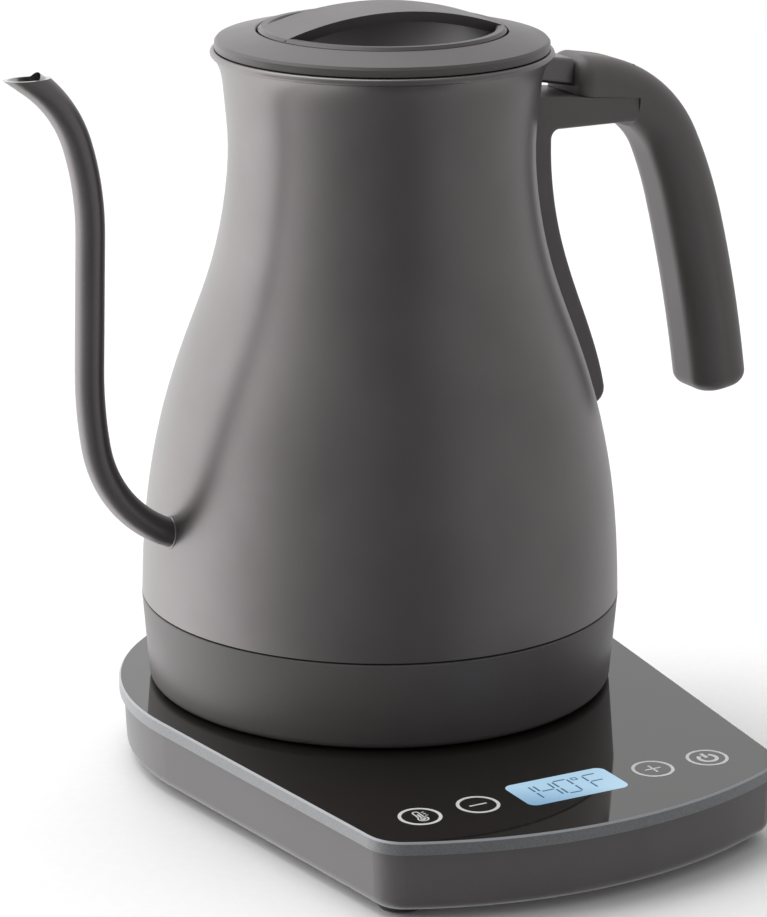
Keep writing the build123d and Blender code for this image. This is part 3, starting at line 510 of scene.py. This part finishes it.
# ---------------------------------------------------------------- floor
floor_radius, floor_depth = 9000.0, 20.0
floor_mesh = bmesh.new()
slab(floor_mesh, arc((0, 0), floor_radius, 0, 360, 96)[:-1], -floor_depth, 0)
bmesh.ops.scale(floor_mesh, vec=(MM, MM, MM), verts=floor_mesh.verts)
floor_data = bpy.data.meshes.new("floor")
floor_mesh.to_mesh(floor_data)
floor_mesh.free()
floor = bpy.data.objects.new("floor", floor_data)
floor.data.materials.append(finish("pale_floor", (0.95, 0.95, 0.95), 0.9, grain=3.0, depth=0.01,
                                   mottling=0.01, patch=200.0))
floor.visible_glossy = False
bpy.context.scene.collection.objects.link(floor)

# ---------------------------------------------------------------- light
world = bpy.data.worlds.new("studio")
world.use_nodes = True
bpy.context.scene.world = world
sky = world.node_tree
sky.nodes.clear()


def sky_node(kind, inputs=None):
    """A node of the studio's surroundings, with its inputs linked or set."""
    made = sky.nodes.new(kind)
    for key, value in (inputs or {}).items():
        if isinstance(value, bpy.types.NodeSocket):
            sky.links.new(value, made.inputs[key])
        else:
            made.inputs[key].default_value = value
    return made


# brightness of the studio round the kettle: angle from the front, to the right positive
studio_strength = 2.4
studio_brightness = ((-180, 0.95), (-140, 1.75), (-108, 2.4), (-80, 1.9), (-55, 0.62), (-30, 0.34),
                     (0, 0.18), (22, 0.1), (46, 0.4), (80, 0.42), (120, 0.6), (180, 0.95))
front_angle = radians(-90 - view_azimuth)
way_out = sky_node("ShaderNodeTexCoord").outputs["Generated"]
turned = sky_node("ShaderNodeMapping", {"Vector": way_out, "Rotation": (0, 0, -front_angle)})
round_about = sky_node("ShaderNodeTexGradient", {"Vector": turned.outputs["Vector"]})
round_about.gradient_type = "RADIAL"
ring_light = sky_node("ShaderNodeValToRGB", {"Fac": round_about.outputs["Fac"]})
stops = ring_light.color_ramp
stops.interpolation = "B_SPLINE"
while len(stops.elements) > 1:
    stops.elements.remove(stops.elements[-1])
for i, (angle, brightness) in enumerate(studio_brightness):
    position = 0.5 + angle / 360
    stop = stops.elements[0] if i == 0 else stops.elements.new(position)
    stop.position = position
    stop.color = grey(brightness / studio_strength)
seen = sky_node("ShaderNodeBackground", {"Color": grey(1.0), "Strength": 1.0})
lit = sky_node("ShaderNodeBackground", {"Color": ring_light.outputs["Color"],
                                        "Strength": studio_strength})
camera_ray = sky_node("ShaderNodeLightPath").outputs["Is Camera Ray"]
mixed = sky_node("ShaderNodeMixShader", {0: camera_ray, 1: lit.outputs[0], 2: seen.outputs[0]})
sky_node("ShaderNodeOutputWorld", {"Surface": mixed.outputs[0]})


def soft_box(name, place, target, size, power):
    """A square area light aimed at a point; places in metres."""
    data = bpy.data.lights.new(name, "AREA")
    data.shape = "SQUARE"
    data.size = size
    data.energy = power
    lamp = bpy.data.objects.new(name, data)
    aim = (Vector(target) - Vector(place)).to_track_quat("-Z", "Y")
    lamp.matrix_world = Matrix.Translation(place) @ aim.to_matrix().to_4x4()
    bpy.context.scene.collection.objects.link(lamp)


soft_box("top_box", (-0.1, 0.5, 1.7), (0, 0, 0), 1.4, 10.0)

# ---------------------------------------------------------------- camera
azimuth, pitch, roll = radians(view_azimuth), radians(view_pitch), radians(view_roll)
aim = Vector((sin(azimuth) * cos(pitch), cos(azimuth) * cos(pitch), -sin(pitch)))
level_right = Vector((cos(azimuth), -sin(azimuth), 0))
level_up = level_right.cross(aim)
right = level_right * cos(roll) + level_up * sin(roll)
up = right.cross(aim)
camera_data = bpy.data.cameras.new("camera")
camera_data.lens = lens_length
camera_data.sensor_width = 36.0
camera_data.sensor_fit = "AUTO"
camera = bpy.data.objects.new("camera", camera_data)
axes = Matrix((right, up, -aim)).transposed().to_4x4()
camera.matrix_world = Matrix.Translation(Vector(camera_place) * MM) @ axes
bpy.context.scene.collection.objects.link(camera)
bpy.context.scene.camera = camera
bpy.context.scene.view_settings.view_transform = "Standard"
